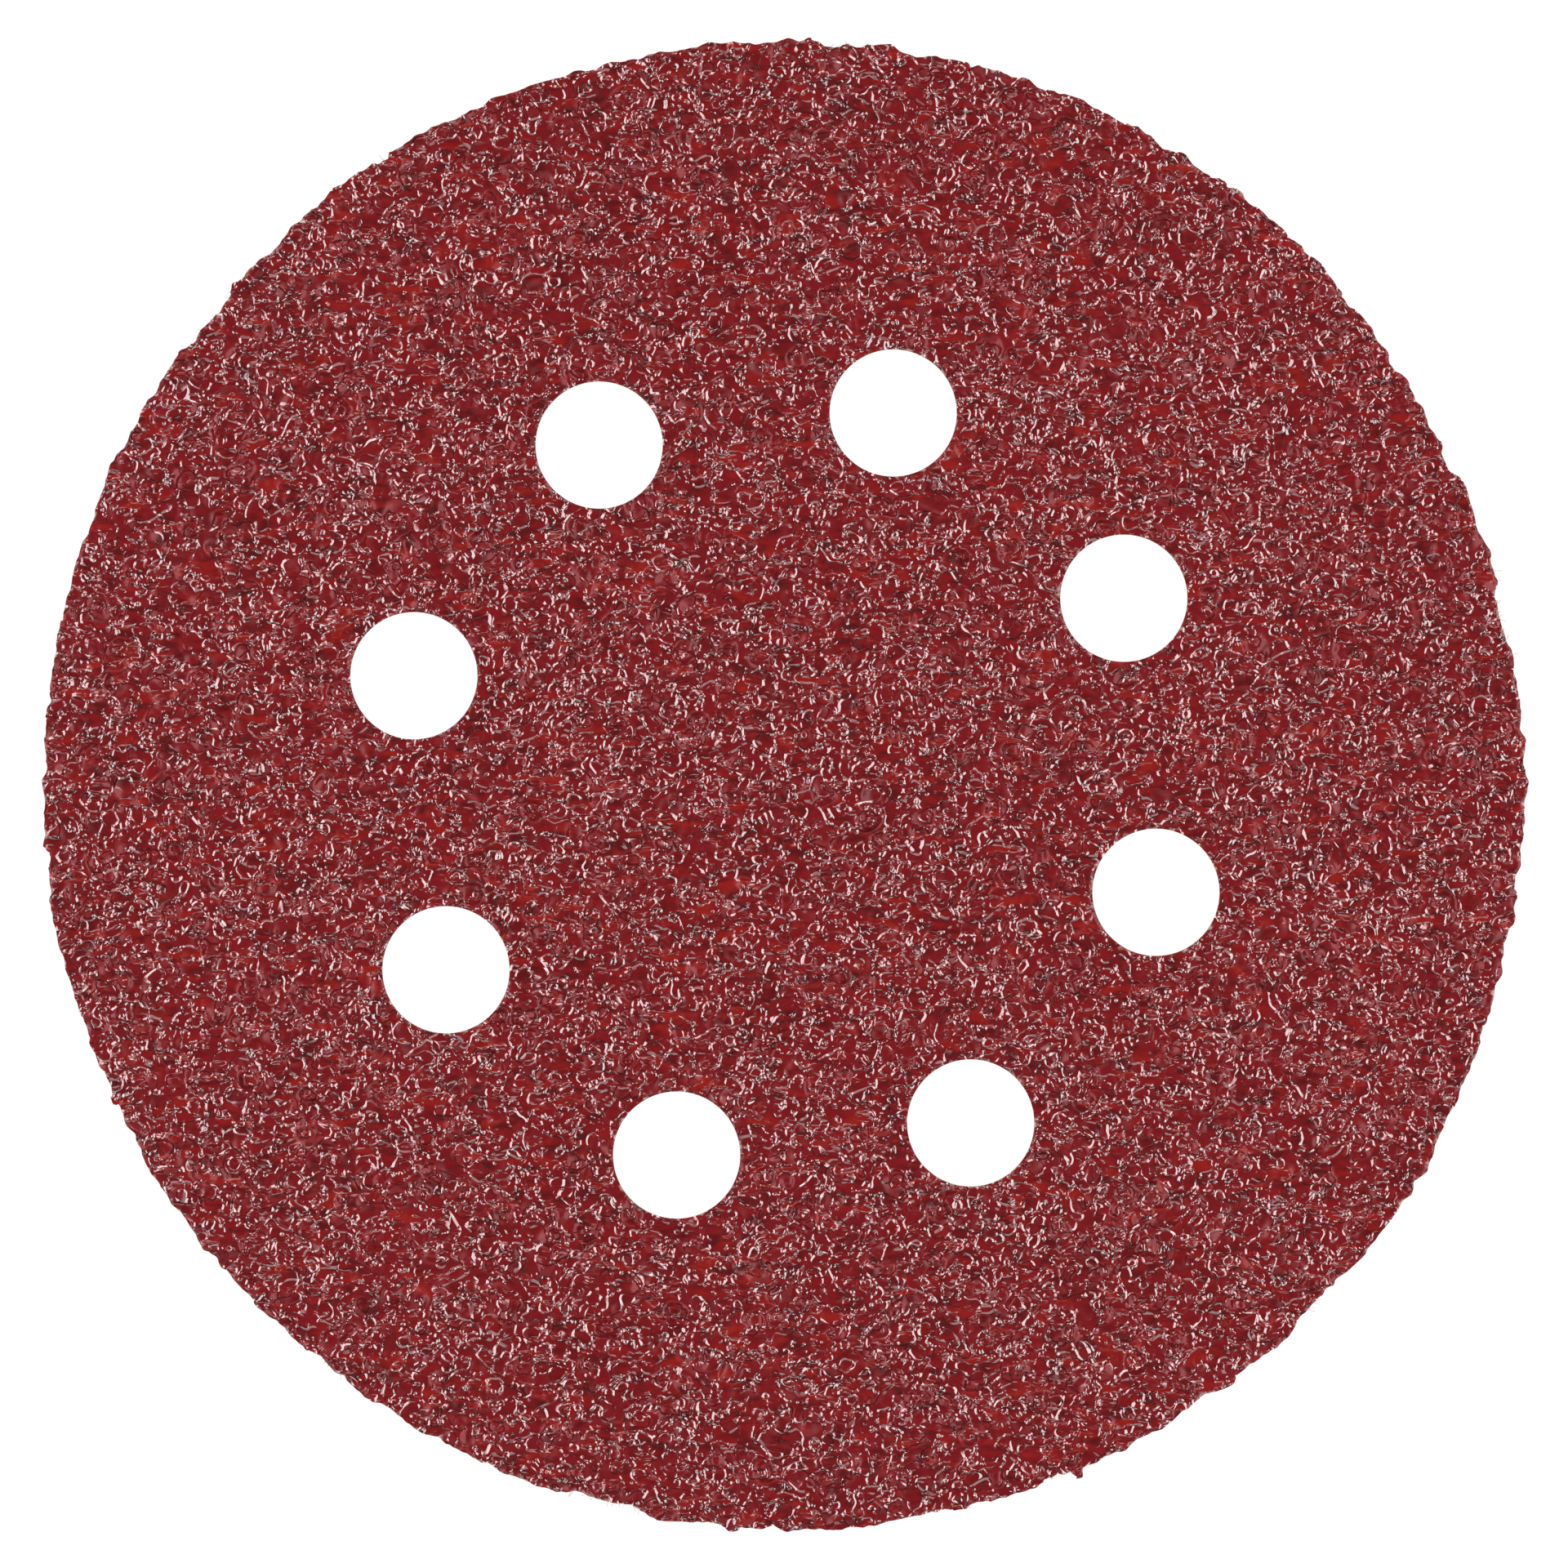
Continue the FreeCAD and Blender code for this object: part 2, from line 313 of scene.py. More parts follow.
def grit_quarter(name, side_x, side_y, material):
    """A quarter of the grit coat: a closed shell whose top is the grains and whose edges are broken."""
    spacing = GRIT_SPACING
    mesh, place, column, row = lattice_mesh(spacing, side_x, side_y, QUARTER_REACH)
    x, y = place[:, 0], place[:, 1]
    radius = np.hypot(x, y)
    rim = rim_at(x, y)
    hole_x, hole_y, hole_away = nearest_hole(x, y)
    gone = (radius > rim + spacing / 2) | (hole_away < HOLE_RADIUS - spacing / 2)
    at_rim = ~gone & (radius > rim - spacing / 2)
    at_hole = ~gone & (hole_away < HOLE_RADIUS + spacing / 2)
    shake = cell_random(column, row, SHAKE_SEED, 2)
    loose = ~(at_rim | at_hole)
    x = np.where(loose, x + LATTICE_SHAKE * spacing * (shake[0] - 0.5), x)
    y = np.where(loose, y + LATTICE_SHAKE * spacing * (shake[1] - 0.5), y)
    on_hole_x = x - hole_x + hole_x * HOLE_RADIUS / hole_away
    on_hole_y = y - hole_y + hole_y * HOLE_RADIUS / hole_away
    x = np.where(at_rim, x * rim / radius, np.where(at_hole, on_hole_x, x))
    y = np.where(at_rim, y * rim / radius, np.where(at_hole, on_hole_y, y))
    inward = np.minimum(rim - np.hypot(x, y), nearest_hole(x, y)[2] - HOLE_RADIUS)
    x = np.clip(x, cad_box[0][0] / MM, cad_box[1][0] / MM)
    y = np.clip(y, cad_box[0][1] / MM, cad_box[1][1] / MM)
    worn = EDGE_FALL * np.clip(1 - inward / EDGE_FALL_WIDTH, 0, 1) ** 2
    height = np.maximum(grit_height(x, y) - worn, RESIN_FLOOR)
    paper_top, coat_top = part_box("abrasive_coat")[0].z / MM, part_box("abrasive_coat")[1].z / MM
    z = np.minimum(paper_top + height, coat_top)

    bm = bmesh.new()
    bm.from_mesh(mesh)
    bpy.data.meshes.remove(mesh)
    bmesh.ops.triangulate(bm, faces=bm.faces, quad_method="SHORT_EDGE")
    bm.verts.ensure_lookup_table()
    edge = bm.verts.layers.float.new("edge_wear")
    edge_wear = np.clip(1 - inward / EDGE_WEAR_WIDTH, 0, 1)
    middles = [(f, f.calc_center_median()) for f in bm.faces]
    other = [f for f, middle in middles if middle.x * side_x < 0 or middle.y * side_y < 0]
    for v, xv, yv, zv, ev in zip(bm.verts, x, y, z, edge_wear):
        v.co = (xv * MM, yv * MM, zv * MM)
        v[edge] = ev
    lost = [v for v, g in zip(bm.verts, gone) if g]
    bmesh.ops.delete(bm, geom=other, context="FACES")
    bmesh.ops.delete(bm, geom=[v for v in lost if v.is_valid], context="VERTS")
    sliver = (SLIVER * spacing * MM) * spacing * MM
    bmesh.ops.delete(bm, geom=[f for f in bm.faces if plan_area(f) < sliver], context="FACES")
    close_below(bm, paper_top * MM, edge)
    for f in bm.faces:
        f.smooth = True
    mesh = bpy.data.meshes.new(name)
    bm.to_mesh(mesh)
    bm.free()
    return show(name, mesh, material)


def plan_area(face):
    """Signed area of a triangle as seen from above, in square metres."""
    a, b, c = (v.co for v in face.verts)
    return 0.5 * ((b.x - a.x) * (c.y - a.y) - (c.x - a.x) * (b.y - a.y))


def near_cut(point):
    """Whether a point lies on the lines where the quarters meet, away from rim and holes."""
    x, y = point.x / MM, point.y / MM
    if min(abs(x), abs(y)) > 0.75 * GRIT_SPACING:
        return False
    away = nearest_hole(np.array([x]), np.array([y]))[2][0]
    rim = rim_at(np.array([x]), np.array([y]))[0]
    return away > HOLE_RADIUS + 0.01 and math.hypot(x, y) < rim - 0.01


def close_below(bm, bottom, edge):
    """Walls down from the open edge, in rows that are rough as broken grit is, and a flat underside."""
    open_edges = [e for e in bm.edges if e.is_boundary]
    for e in open_edges:
        e.smooth = False
    tops = {v: v for e in open_edges for v in e.verts}
    start = {v: v.co.copy() for v in tops}
    hidden = {v: near_cut(v.co) for v in tops}
    source = {v: v for v in tops}
    rng = np.random.default_rng(RIM_SEED + 1)
    for share in EDGE_ROWS:
        made = bmesh.ops.extrude_edge_only(bm, edges=open_edges)["geom"]
        new_edges = [g for g in made if isinstance(g, bmesh.types.BMEdge)]
        new_verts = [g for g in made if isinstance(g, bmesh.types.BMVert)]
        partner = {}
        for v in new_verts:
            for e in v.link_edges:
                old = e.other_vert(v)
                if old in source:
                    partner[v] = source[old]
        for v in new_verts:
            origin = partner[v]
            height = start[origin].z - bottom
            v.co = (start[origin].x, start[origin].y, bottom + share * height)
            if share > 0 and not hidden[origin]:
                length = math.hypot(v.co.x, v.co.y)
                push = rng.uniform(-EDGE_ROUGHNESS, 0) * MM
                if length > OUTSIDE_HOLES * MM:
                    v.co.x += v.co.x / length * push
                    v.co.y += v.co.y / length * push
            v[edge] = origin[edge]
        source = {v: partner[v] for v in new_verts}
        open_edges = new_edges
    bmesh.ops.triangle_fill(bm, edges=open_edges, use_beauty=False, normal=(0, 0, -1))
    bmesh.ops.recalc_face_normals(bm, faces=bm.faces)


def show(name, mesh, material):
    """Links a finished mesh as a piece that rides with the disc."""
    mesh.materials.append(material)
    piece = bpy.data.objects.new(name, mesh)
    bpy.context.scene.collection.objects.link(piece)
    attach(piece, "root")
    return piece


# Paper and loop fabric.


def punched_sheet(name, bottom, top, edge, segments, hole_radius, material):
    """A thin flat sheet with the disc's holes: edge gives its outline's radius in mm for each angle."""
    bm = bmesh.new()
    outline = bmesh.ops.create_circle(bm, cap_ends=False, segments=segments, radius=1.0)["verts"]
    angles = np.array([math.atan2(v.co.y, v.co.x) for v in outline])
    for v, radius in zip(outline, edge(angles)):
        x, y = np.clip((v.co.x * radius * MM, v.co.y * radius * MM), cad_box[0][:2], cad_box[1][:2])
        v.co = (x, y, top)
    for cx, cy in HOLE_CENTRES:
        bmesh.ops.create_circle(bm, cap_ends=False, segments=HOLE_SEGMENTS, radius=hole_radius * MM,
                                matrix=Matrix.Translation((cx * MM, cy * MM, top)))
    bmesh.ops.triangle_fill(bm, edges=bm.edges, use_beauty=True, normal=(0, 0, 1))
    made = bmesh.ops.extrude_face_region(bm, geom=bm.faces[:])["geom"]
    for v in made:
        if isinstance(v, bmesh.types.BMVert):
            v.co.z = bottom
    bmesh.ops.recalc_face_normals(bm, faces=bm.faces)
    mesh = bpy.data.meshes.new(name)
    bm.to_mesh(mesh)
    bm.free()
    return show(name, mesh, material)


def cloth_edge(angles):
    """The loop fabric is cut a little inside the grit."""
    return rim_at(np.cos(angles), np.sin(angles), CLOTH_SETBACK)


def paper_edge(angles):
    """The paper ends just under the grit, and stands out of it in rags where the rim is torn."""
    rng = np.random.default_rng(PAPER_SEED)
    radius = rim_at(np.cos(angles), np.sin(angles), PAPER_SETBACK)
    radius = radius + rng.uniform(-PAPER_ROUGHNESS, PAPER_ROUGHNESS, len(angles))
    for degrees, width, count in TORN_PLACES:
        away = (angles - math.radians(degrees) + math.pi) % (2 * math.pi) - math.pi
        here = np.exp(-(away * DISC_RADIUS / (RAG_FALL * width)) ** 2)
        radius += here * rng.uniform(0.0, 2 * PAPER_RAG, len(angles))
    return np.minimum(radius, np.interp(angles, RIM_ANGLE, RIM_RADIUS, period=2 * math.pi) + PAPER_LIMIT)


def yarn_arc(radius, half_width, drop, steps, turn=math.pi):
    """One yarn bent in an arc that hangs below its two feet: a closed three-sided tube."""
    bm = bmesh.new()
    bmesh.ops.create_circle(bm, cap_ends=True, segments=3, radius=radius,
                            matrix=Matrix.Translation((-half_width, 0, 0)))
    parts = bm.verts[:] + bm.edges[:] + bm.faces[:]
    bmesh.ops.spin(bm, geom=parts, cent=(0, 0, 0), axis=(0, 1, 0), angle=-turn, steps=steps,
                   use_duplicate=False, use_merge=False)
    bmesh.ops.scale(bm, vec=(1, 1, drop / half_width), verts=bm.verts)
    bmesh.ops.recalc_face_normals(bm, faces=bm.faces)
    for f in bm.faces:
        f.smooth = True
    mesh = bpy.data.meshes.new("yarn_arc")
    bm.to_mesh(mesh)
    bm.free()
    return mesh


def scatter(name, shape, places, material):
    """Copies one small shape to many places: each place is a 4 by 4 matrix."""
    bm = bmesh.new()
    for _ in places:
        bm.from_mesh(shape)
    mesh = bpy.data.meshes.new(name)
    bm.to_mesh(mesh)
    bm.free()
    points = np.empty(len(shape.vertices) * 3)
    shape.vertices.foreach_get("co", points)
    points = np.c_[points.reshape(-1, 3), np.ones(len(shape.vertices))]
    placed = np.einsum("nij,vj->nvi", np.array(places), points)[:, :, :3].reshape(-1, 3)
    low, high = (np.array(side) for side in cad_box)
    mesh.vertices.foreach_set("co", np.clip(placed, low, high).ravel())
    mesh.update()
    return show(name, mesh, material)


def loop_pile(material):
    """Rows of yarn loops under the ground cloth, in two pieces. Each leans its own way, as if brushed."""
    shape = yarn_arc(YARN_RADIUS * MM, LOOP_HALF_WIDTH * MM, LOOP_DROP * MM, 5)
    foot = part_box("loop_fabric")[1].z - 0.8 * CLOTH_THICKNESS * MM
    rng = np.random.default_rng(LOOP_SEED)
    halves = ([], [])
    rows = int(LOOP_REACH / (LOOP_PITCH * ROW_HEIGHT))
    for row in range(-rows, rows + 1):
        for column in range(-rows, rows + 1):
            x = (column + 0.5 * (row % 2)) * LOOP_PITCH + rng.uniform(-LOOP_WANDER, LOOP_WANDER)
            y = row * LOOP_PITCH * ROW_HEIGHT + rng.uniform(-LOOP_WANDER, LOOP_WANDER)
            turn, lean = rng.normal(0, LOOP_TURN), rng.uniform(-LOOP_LEAN, LOOP_LEAN)
            size = rng.uniform(*LOOP_SIZES)
            at = np.array([x]), np.array([y])
            if math.hypot(x, y) > rim_at(*at)[0] - LOOP_FROM_RIM:
                continue
            if nearest_hole(*at)[2][0] < HOLE_RADIUS + LOOP_FROM_HOLE:
                continue
            place = Matrix.Translation((x * MM, y * MM, foot)) @ Matrix.Rotation(turn, 4, "Z")
            place = place @ Matrix.Rotation(lean, 4, "X") @ Matrix.Scale(size, 4)
            halves[y > 0].append(np.array(place))
    return [scatter(f"loop_pile_{k + 1}", shape, places, material) for k, places in enumerate(halves)]


def torn_fibres(material):
    """Short pale paper fibres that stand out of the chips in the rim."""
    shape = yarn_arc(FIBRE_RADIUS * MM, FIBRE_BEND * MM, FIBRE_BEND * MM, 4, math.radians(75))
    rng = np.random.default_rng(FIBRE_SEED)
    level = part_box("backing_paper")[0].z
    places = []
    for degrees, width, count in TORN_PLACES:
        for _ in range(count):
            angle = math.radians(degrees) + rng.normal(0, FIBRE_SPREAD) * width / FIBRE_RING
            direction = np.array([math.cos(angle)]), np.array([math.sin(angle)])
            radius = rim_at(*direction)[0] - rng.uniform(*FIBRE_DEPTH)
            height = level + rng.uniform(*FIBRE_LEVEL) * MM
            place = Matrix.Translation((radius * direction[0][0] * MM, radius * direction[1][0] * MM, height))
            place = place @ Matrix.Rotation(angle + rng.uniform(-FIBRE_TURN, FIBRE_TURN), 4, "Z")
            place = place @ Matrix.Rotation(rng.uniform(*FIBRE_DIP), 4, "Y")
            place = place @ Matrix.Rotation(rng.uniform(0, 6.28), 4, "X")
            place = place @ Matrix.Scale(rng.uniform(*FIBRE_SIZES), 4)
            place = place @ Matrix.Translation((FIBRE_BEND * MM, 0, 0))
            places.append(np.array(place))
    return scatter("torn_fibres", shape, places, material)


# Materials.


def shoulder_rings(tree, place, bent, cell, inner, outer, width, height, share):
    """Height of round grain shoulders for a bump, sizes in mm: a short ramp round each cell's own radius. A
    slow noise lowers the ramp here and there, so that most shoulders are open arcs."""
    cells = add_node(tree, "ShaderNodeTexVoronoi", {"Scale": 1 / (cell * MM)}, {"Vector": bent},
                     voronoi_dimensions="2D")
    chance = add_node(tree, "ShaderNodeSeparateColor", None, {"Color": cells.outputs["Color"]})
    radius = add_node(tree, "ShaderNodeMath", {1: (outer - inner) / cell, 2: inner / cell},
                      {0: chance.outputs[0]}, operation="MULTIPLY_ADD")
    within = add_node(tree, "ShaderNodeMath", None, {0: radius.outputs[0], 1: cells.outputs["Distance"]},
                      operation="SUBTRACT")
    half = width / cell / 2
    ramp = add_node(tree, "ShaderNodeMapRange", {"From Min": -half, "From Max": half},
                    {"Value": within.outputs[0]})
    there = add_node(tree, "ShaderNodeMath", {1: share}, {0: chance.outputs[1]}, operation="LESS_THAN")
    rise = add_node(tree, "ShaderNodeMath", {1: 0.3 * height, 2: 0.85 * height}, {0: chance.outputs[2]},
                    operation="MULTIPLY_ADD")
    shown = add_node(tree, "ShaderNodeMath", None, {0: there.outputs[0], 1: rise.outputs[0]},
                     operation="MULTIPLY")
    ring = add_node(tree, "ShaderNodeMath", None, {0: ramp.outputs[0], 1: shown.outputs[0]},
                    operation="MULTIPLY")
    slow = add_node(tree, "ShaderNodeTexNoise", {"Scale": 1.0, "Detail": 0.0, "W": 7 * cell},
                    {"Vector": along_run(tree, place, 1.6, 1.0)}, noise_dimensions="4D")
    open_up = add_node(tree, "ShaderNodeMapRange", {"From Min": 0.35, "From Max": 0.51},
                       {"Value": slow.outputs["Fac"]})
    return add_node(tree, "ShaderNodeMath", None, {0: ring.outputs[0], 1: open_up.outputs[0]},
                    operation="MULTIPLY").outputs[0]


def along_run(tree, place, length, width):
    """Texture space drawn out along the web's run, which the photo shows level; sizes in mm."""
    return add_node(tree, "ShaderNodeMapping",
                    {"Rotation": (0, 0, PHOTO_TURN), "Scale": (length * MM, width * MM, width * MM)},
                    {"Vector": place}, vector_type="TEXTURE").outputs["Vector"]


def resin_over_grit():
    """Phenolic resin flowed over coarse alumina grit and cured: dark red and dull, but drawn thin and glassy
    over each grain's shoulder, which is a white highlight."""
    material, tree, shader = new_material("cured_resin_over_grit", IOR=1.6, Coat_Roughness=0.06, Coat_IOR=2.1,
                                          Specular_IOR_Level=0.5, Specular_Tint=(1.0, 0.40, 0.42, 1.0))
    place = add_node(tree, "ShaderNodeTexCoord").outputs["Object"]
    # Resin pools 2.6 mm long and 1 mm across, drawn out along the web's run.
    pool_noise = add_node(tree, "ShaderNodeTexNoise", {"Scale": 1.0, "Detail": 2.0},
                          {"Vector": along_run(tree, place, 2.6, 1.0)})
    pool = add_node(tree, "ShaderNodeMapRange", {"From Min": 0.57, "From Max": 0.74},
                    {"Value": pool_noise.outputs["Fac"]}).outputs["Result"]
    # Grain shoulders of three sizes, bent out of round by a 1.3 mm wander.
    wander = add_node(tree, "ShaderNodeTexNoise", {"Scale": 1 / (1.3 * MM), "Detail": 0.0}, {"Vector": place})
    centred = add_node(tree, "ShaderNodeVectorMath", {1: (0.5, 0.5, 0.5)}, {0: wander.outputs["Color"]},
                       operation="SUBTRACT")
    bent = add_node(tree, "ShaderNodeVectorMath", {1: (MM, MM, 0.0)},
                    {0: centred.outputs[0], 2: place}, operation="MULTIPLY_ADD").outputs[0]
    height = shoulder_rings(tree, place, bent, *SHOULDER_SIZES[0])
    for sizes in SHOULDER_SIZES[1:]:
        ring = shoulder_rings(tree, place, bent, *sizes)
        height = add_node(tree, "ShaderNodeMath", None, {0: height, 1: ring}, operation="MAXIMUM").outputs[0]
    # One resin wrinkle that wanders between the grains, 0.2 mm wide.
    wrinkle_noise = add_node(tree, "ShaderNodeTexNoise", {"Scale": 1 / (1.5 * MM), "Detail": 0.0},
                             {"Vector": place})
    wrinkle = add_node(tree, "ShaderNodeMapRange", {"From Min": 0.51, "From Max": 0.57, "To Max": 0.07},
                       {"Value": wrinkle_noise.outputs["Fac"]})
    height = add_node(tree, "ShaderNodeMath", None, {0: height, 1: wrinkle.outputs[0]},
                      operation="ADD").outputs[0]
    calm = add_node(tree, "ShaderNodeMath", {1: -0.9, 2: 1.0}, {0: pool}, operation="MULTIPLY_ADD")
    height = add_node(tree, "ShaderNodeMath", None, {0: height, 1: calm.outputs[0]}, operation="MULTIPLY")
    bump = add_node(tree, "ShaderNodeBump", {"Strength": 1.0, "Distance": MM}, {"Height": height.outputs[0]})
    # Colour: deep red in streaks 1.6 mm long, a clearer red in the pools, paler where rim and holes are worn.
    blotch = add_node(tree, "ShaderNodeTexNoise", {"Scale": 1.0, "Detail": 2.0},
                      {"Vector": along_run(tree, place, 1.6, 0.55)})
    tone = add_node(tree, "ShaderNodeMapRange", {"From Min": 0.38, "From Max": 0.62},
                    {"Value": blotch.outputs["Fac"]})
    base = add_node(tree, "ShaderNodeMix", {6: linear("560F12"), 7: linear("841416")},
                    {0: tone.outputs["Result"]}, data_type="RGBA")
    batch = add_node(tree, "ShaderNodeTexNoise", {"Scale": 1 / (1.6 * MM), "Detail": 1.0}, {"Vector": bent})
    cooler = add_node(tree, "ShaderNodeMapRange", {"From Min": 0.40, "From Max": 0.66},
                      {"Value": batch.outputs["Fac"]})
    base = add_node(tree, "ShaderNodeMix", {7: linear("7A131A")},
                    {0: cooler.outputs["Result"], 6: base.outputs[2]}, data_type="RGBA")
    pooled = add_node(tree, "ShaderNodeMix", {7: linear("941B14")}, {0: pool, 6: base.outputs[2]},
                      data_type="RGBA")
    wear = add_node(tree, "ShaderNodeAttribute", attribute_name="edge_wear").outputs["Fac"]
    speck = add_node(tree, "ShaderNodeTexNoise", {"Scale": 1 / (0.5 * MM), "Detail": 2.0}, {"Vector": place})
    worn_here = add_node(tree, "ShaderNodeMath", None, {0: speck.outputs["Fac"], 1: wear},
                         operation="MULTIPLY")
    worn = add_node(tree, "ShaderNodeMapRange", {"From Min": 0.52, "From Max": 0.66, "To Max": 0.75},
                    {"Value": worn_here.outputs[0]}).outputs["Result"]
    coloured = add_node(tree, "ShaderNodeMix", {7: linear("C9A9A2")}, {0: worn, 6: pooled.outputs[2]},
                        data_type="RGBA")
    tree.links.new(coloured.outputs[2], shader.inputs["Base Color"])
    tree.links.new(bump.outputs["Normal"], shader.inputs["Normal"])
    tree.links.new(bump.outputs["Normal"], shader.inputs["Coat Normal"])
    # Gloss: resin is dull, and where a shoulder tilts it by 10 degrees to 18 it turns glassy.
    mesh_normal = add_node(tree, "ShaderNodeNewGeometry").outputs["Normal"]
    upright = add_node(tree, "ShaderNodeVectorMath", None, {0: bump.outputs["Normal"], 1: mesh_normal},
                       operation="DOT_PRODUCT").outputs["Value"]
    for socket, level, steep in (("Coat Weight", 0.03, 1.0), ("Roughness", 0.33, 0.15)):
        gloss = add_node(tree, "ShaderNodeMapRange",
                         {"From Min": 0.985, "From Max": 0.95, "To Min": level, "To Max": steep},
                         {"Value": upright})
        tree.links.new(gloss.outputs["Result"], shader.inputs[socket])
    return material


def heavy_paper():
    """Heavy kraft paper, saturated with resin: tan and fibrous, its cut edge in thin layers."""
    material, tree, shader = new_material("resin_saturated_kraft_paper", Roughness=0.85,
                                          Specular_IOR_Level=0.3)
    place = add_node(tree, "ShaderNodeTexCoord").outputs["Object"]
    fibres = add_node(tree, "ShaderNodeTexNoise", {"Scale": 1 / (0.35 * MM), "Detail": 4.0},
                      {"Vector": place})
    flat = add_node(tree, "ShaderNodeMapping", {"Scale": (1.2 * MM, 1.2 * MM, 0.07 * MM)}, {"Vector": place},
                    vector_type="TEXTURE")
    layers = add_node(tree, "ShaderNodeTexNoise", {"Scale": 1.0, "Detail": 2.0},
                      {"Vector": flat.outputs["Vector"]})
    colour = add_node(tree, "ShaderNodeMix", {6: linear("A68B76"), 7: linear("C6AE98")},
                      {0: fibres.outputs["Fac"]}, data_type="RGBA")
    layered = add_node(tree, "ShaderNodeMix", {7: linear("7A5A4A")}, {6: colour.outputs[2]}, data_type="RGBA")
    dark = add_node(tree, "ShaderNodeMapRange", {"From Min": 0.52, "From Max": 0.72, "To Max": 0.7},
                    {"Value": layers.outputs["Fac"]})
    tree.links.new(dark.outputs["Result"], layered.inputs[0])
    height = add_node(tree, "ShaderNodeMath", None, {0: fibres.outputs["Fac"], 1: layers.outputs["Fac"]},
                      operation="ADD")
    bump = add_node(tree, "ShaderNodeBump", {"Strength": 0.8, "Distance": 0.06 * MM},
                    {"Height": height.outputs[0]})
    tree.links.new(layered.outputs[2], shader.inputs["Base Color"])
    tree.links.new(bump.outputs["Normal"], shader.inputs["Normal"])
    return material


def paper_fibre():
    """Torn paper fibres, whiter than the sheet because resin hasn't reached their core."""
    material, tree, shader = new_material("torn_paper_fibre", Roughness=0.9, Specular_IOR_Level=0.3)
    place = add_node(tree, "ShaderNodeTexCoord").outputs["Object"]
    patch = add_node(tree, "ShaderNodeTexNoise", {"Scale": 1 / (0.6 * MM), "Detail": 2.0}, {"Vector": place})
    colour = add_node(tree, "ShaderNodeMix", {6: linear("D9C8C2"), 7: linear("F2ECE8")},
                      {0: patch.outputs["Fac"]}, data_type="RGBA")
    tree.links.new(colour.outputs[2], shader.inputs["Base Color"])
    return material


def knitted_ground():
    """Warp-knitted polyester: off-white, courses 0.9 mm apart and wales 0.7 mm apart, soft and matt, with
    painted shade in its grooves.
    """
    material, tree, shader = new_material("knitted_polyester_ground", Roughness=0.9, Sheen_Weight=0.3,
                                          Sheen_Roughness=0.5)
    place = add_node(tree, "ShaderNodeTexCoord").outputs["Object"]
    wales = add_node(tree, "ShaderNodeTexWave",
                     {"Scale": 1 / (0.7 * MM) / WAVES_PER_SCALE, "Distortion": 1.5, "Detail": 2.0},
                     {"Vector": place}, wave_type="BANDS", bands_direction="X")
    courses = add_node(tree, "ShaderNodeTexWave",
                       {"Scale": 1 / (0.9 * MM) / WAVES_PER_SCALE, "Distortion": 2.0, "Detail": 2.0},
                       {"Vector": place}, wave_type="BANDS", bands_direction="Y")
    knit = add_node(tree, "ShaderNodeMath", None, {0: wales.outputs["Fac"], 1: courses.outputs["Fac"]},
                    operation="MULTIPLY")
    # Painted shade: the colour darkens where the knit's bump height is low, in the grooves between stitches.
    colour = add_node(tree, "ShaderNodeMix", {6: linear("A7A098"), 7: linear("DDD8CF")}, {0: knit.outputs[0]},
                      data_type="RGBA")
    bump = add_node(tree, "ShaderNodeBump", {"Strength": 1.0, "Distance": 0.12 * MM},
                    {"Height": knit.outputs[0]})
    tree.links.new(colour.outputs[2], shader.inputs["Base Color"])
    tree.links.new(bump.outputs["Normal"], shader.inputs["Normal"])
    return material


def loop_yarn():
    """Polyester multifilament yarn, brushed: off-white with a faint sheen, fine filaments along it."""
    material, tree, shader = new_material("brushed_polyester_yarn", Roughness=0.7, Sheen_Weight=0.5,
                                          Sheen_Roughness=0.4)
    place = add_node(tree, "ShaderNodeTexCoord").outputs["Object"]
    patch = add_node(tree, "ShaderNodeTexNoise", {"Scale": 1 / (5 * MM), "Detail": 4.0}, {"Vector": place})
    strand = add_node(tree, "ShaderNodeTexNoise", {"Scale": 1 / (0.08 * MM), "Detail": 1.0},
                      {"Vector": place})
    colour = add_node(tree, "ShaderNodeMix", {6: linear("D3CDC3"), 7: linear("F0ECE4")},
                      {0: patch.outputs["Fac"]}, data_type="RGBA")
    bump = add_node(tree, "ShaderNodeBump", {"Strength": 0.6, "Distance": 0.02 * MM},
                    {"Height": strand.outputs["Fac"]})
    tree.links.new(colour.outputs[2], shader.inputs["Base Color"])
    tree.links.new(bump.outputs["Normal"], shader.inputs["Normal"])
    return material


# Studio.


